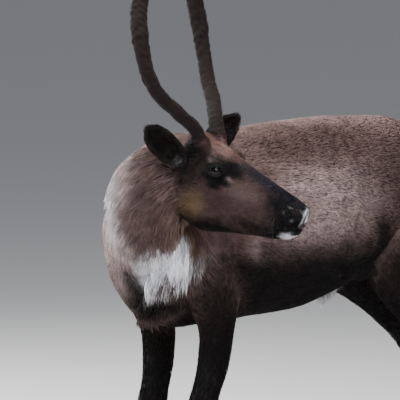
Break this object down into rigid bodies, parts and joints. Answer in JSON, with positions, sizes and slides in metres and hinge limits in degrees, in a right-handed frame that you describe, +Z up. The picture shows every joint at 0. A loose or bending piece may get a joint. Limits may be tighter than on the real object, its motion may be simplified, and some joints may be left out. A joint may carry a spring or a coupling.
{
  "type": "reindeer",
  "caption": "Standing reindeer in its summer coat, looking back past its left shoulder, with a pale throat mane and slender antlers in velvet.",
  "frame": {"origin": "On the ground, in the middle of the animal's bounding box.", "axes": "-Y is where the chest faces, +X is the animal's left, +Z is up. The head is turned left and looks along +X and a little towards +Y."},
  "size_m": [0.7795, 1.5601, 1.7836],
  "materials": {
    "coat": "matte grey-brown short fur",
    "mane": "matte pale grey long fur",
    "face_coat": "matte grey-brown short fur",
    "leg_coat": "matte dark brown short fur",
    "velvet": "matte dark velvet",
    "horn": "satin black horn",
    "eye": "wet gloss"
  },
  "bodies": {
    "root": {"chest": "coat", "barrel": "coat", "rump": "coat", "sheath": "coat", "tail": "mane", "neck": "mane", "head": "face_coat", "ear_left": "leg_coat", "eye_left": "eye", "foreleg_upper_left": "leg_coat", "foreleg_lower_left": "leg_coat", "foreleg_outer_hoof_left": "horn", "foreleg_outer_dewclaw_left": "horn", "foreleg_inner_hoof_left": "horn", "foreleg_inner_dewclaw_left": "horn", "hindleg_upper_left": "leg_coat", "hindleg_lower_left": "leg_coat", "hindleg_outer_hoof_left": "horn", "hindleg_outer_dewclaw_left": "horn", "hindleg_inner_hoof_left": "horn", "hindleg_inner_dewclaw_left": "horn", "ear_right": "leg_coat", "eye_right": "eye", "foreleg_upper_right": "leg_coat", "foreleg_lower_right": "leg_coat", "foreleg_outer_hoof_right": "horn", "foreleg_outer_dewclaw_right": "horn", "foreleg_inner_hoof_right": "horn", "foreleg_inner_dewclaw_right": "horn", "hindleg_upper_right": "leg_coat", "hindleg_lower_right": "leg_coat", "hindleg_outer_hoof_right": "horn", "hindleg_outer_dewclaw_right": "horn", "hindleg_inner_hoof_right": "horn", "hindleg_inner_dewclaw_right": "horn", "antler_left_beam": "velvet", "antler_left_front_tine": "velvet", "antler_left_rear_tine": "velvet", "antler_right_beam": "velvet", "antler_right_front_tine": "velvet", "antler_right_rear_tine": "velvet"}
  },
  "joints": []
}
